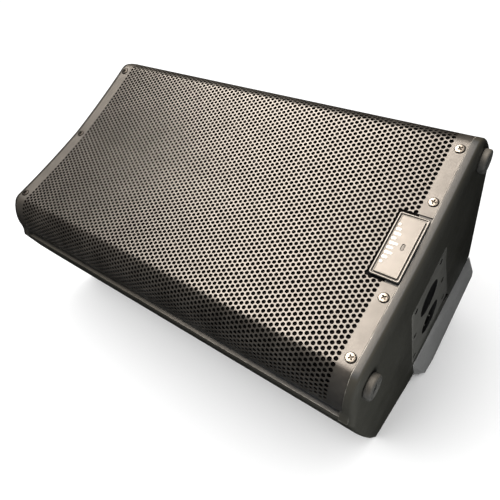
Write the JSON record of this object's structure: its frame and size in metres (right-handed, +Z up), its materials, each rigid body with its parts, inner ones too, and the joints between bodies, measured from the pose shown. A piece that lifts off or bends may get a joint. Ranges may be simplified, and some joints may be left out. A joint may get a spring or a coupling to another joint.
{
  "type": "powered stage monitor wedge",
  "caption": "Powered two-way stage monitor loudspeaker lying on its monitor facet, with wrapped steel grille, pole sockets, stand feet and rear amplifier panel.",
  "frame": {"origin": "middle of the bounding box at floor level, the cabinet resting on its monitor facet", "axes": "+X towards the loudspeaker's bottom end with the feet and pole sockets, +Z up, grille facing up and towards -Y"},
  "size_m": [0.531, 0.3836, 0.3234],
  "materials": {
    "black_moulding": "textured black moulded plastic",
    "grey_moulding": "textured dark grey moulded plastic",
    "black_steel": "black powder-coated steel",
    "zinc": "plated steel",
    "aluminium": "cast and extruded aluminium",
    "rubber": "black rubber",
    "foam": "open-cell acoustic foam",
    "paper_cone": "coated paper cone",
    "cloth": "resin-dipped cloth",
    "copper": "copper winding on a former",
    "ferrite": "ferrite and painted steel",
    "board": "green circuit board",
    "display": "dark display window",
    "window": "clear light window",
    "plywood": "plywood"
  },
  "bodies": {
    "cabinet": {"cabinet_shell": "black_moulding", "front_baffle": "plywood", "grille": "black_steel", "grille_foam": "foam", "badge_bezel": "black_moulding", "badge_plate": "grey_moulding", "badge_light_window": "window", "stand_foot_lower": "rubber", "stand_foot_upper": "rubber", "foot_screw_lower": "zinc", "foot_screw_upper": "zinc", "pole_socket_block": "grey_moulding", "rear_housing": "grey_moulding", "woofer_basket": "aluminium", "woofer_surround": "rubber", "woofer_spider": "cloth", "woofer_top_plate": "zinc", "woofer_magnet": "ferrite", "woofer_back_plate": "zinc", "horn_flare": "black_moulding", "compression_driver": "ferrite", "port_tube_lower": "black_moulding", "port_tube_upper": "black_moulding", "amp_chassis": "black_steel", "heat_sink": "aluminium", "amp_board": "board", "power_supply": "ferrite", "fan_housing": "black_moulding", "display_window": "display", "combo_jack_1": "black_moulding", "combo_jack_2": "black_moulding", "power_inlet": "black_moulding", "handle_cup": "grey_moulding", "grille_screw_1": "zinc", "grille_screw_2": "zinc", "grille_screw_3": "zinc", "grille_screw_4": "zinc", "grille_screw_5": "zinc", "grille_screw_6": "zinc", "grille_screw_7": "zinc", "socket_screw_1": "zinc", "socket_screw_2": "zinc", "socket_screw_3": "zinc", "socket_screw_4": "zinc", "socket_screw_5": "zinc", "socket_screw_6": "zinc", "housing_screw_1": "zinc", "housing_screw_2": "zinc", "housing_screw_3": "zinc"},
    "woofer_moving": {"woofer_cone": "paper_cone", "voice_coil": "copper"},
    "fan_blades": {"fan_rotor": "black_moulding"},
    "menu_dial": {"menu_knob": "black_moulding"},
    "gain_dial_1": {"gain_knob_1": "black_moulding"},
    "gain_dial_2": {"gain_knob_2": "black_moulding"},
    "button_1": {"menu_button_1": "rubber"},
    "button_2": {"menu_button_2": "rubber"},
    "latch_1": {"jack_latch_1": "zinc"},
    "latch_2": {"jack_latch_2": "zinc"},
    "rocker": {"power_rocker": "black_moulding"}
  },
  "joints": [
    {"name": "woofer_excursion", "type": "slide", "parent": "cabinet", "child": "woofer_moving", "axis": [0, 0.5446, -0.8387], "range_m": [-0.005, 0.005], "stiffness_N_per_m": 2500},
    {"name": "fan_spin", "type": "hinge", "parent": "cabinet", "child": "fan_blades", "pos_m": [-0.077, 0.09465, 0.06944], "axis": [0, 0.5446, -0.8387], "continuous": true},
    {"name": "menu_turn", "type": "hinge", "parent": "cabinet", "child": "menu_dial", "pos_m": [-0.017, 0.10756, 0.04956], "axis": [0, 0.5446, -0.8387], "continuous": true},
    {"name": "gain_turn_1", "type": "hinge", "parent": "cabinet", "child": "gain_dial_1", "pos_m": [0.015, 0.08659, 0.03594], "axis": [0, 0.5446, -0.8387], "range_deg": [-150, 150]},
    {"name": "gain_turn_2", "type": "hinge", "parent": "cabinet", "child": "gain_dial_2", "pos_m": [0.015, 0.12852, 0.06317], "axis": [0, 0.5446, -0.8387], "range_deg": [-150, 150]},
    {"name": "button_press_1", "type": "slide", "parent": "cabinet", "child": "button_1", "axis": [0, -0.5446, 0.8387], "range_m": [0, 0.001], "stiffness_N_per_m": 800},
    {"name": "button_press_2", "type": "slide", "parent": "cabinet", "child": "button_2", "axis": [0, -0.5446, 0.8387], "range_m": [0, 0.001], "stiffness_N_per_m": 800},
    {"name": "latch_press_1", "type": "slide", "parent": "cabinet", "child": "latch_1", "axis": [0, -0.5446, 0.8387], "range_m": [0, 0.001], "stiffness_N_per_m": 1200},
    {"name": "latch_press_2", "type": "slide", "parent": "cabinet", "child": "latch_2", "axis": [0, -0.5446, 0.8387], "range_m": [0, 0.001], "stiffness_N_per_m": 1200},
    {"name": "power_rock", "type": "hinge", "parent": "cabinet", "child": "rocker", "pos_m": [0.098, 0.12878, 0.06645], "axis": [1, 0, 0], "range_deg": [0, 16]}
  ]
}
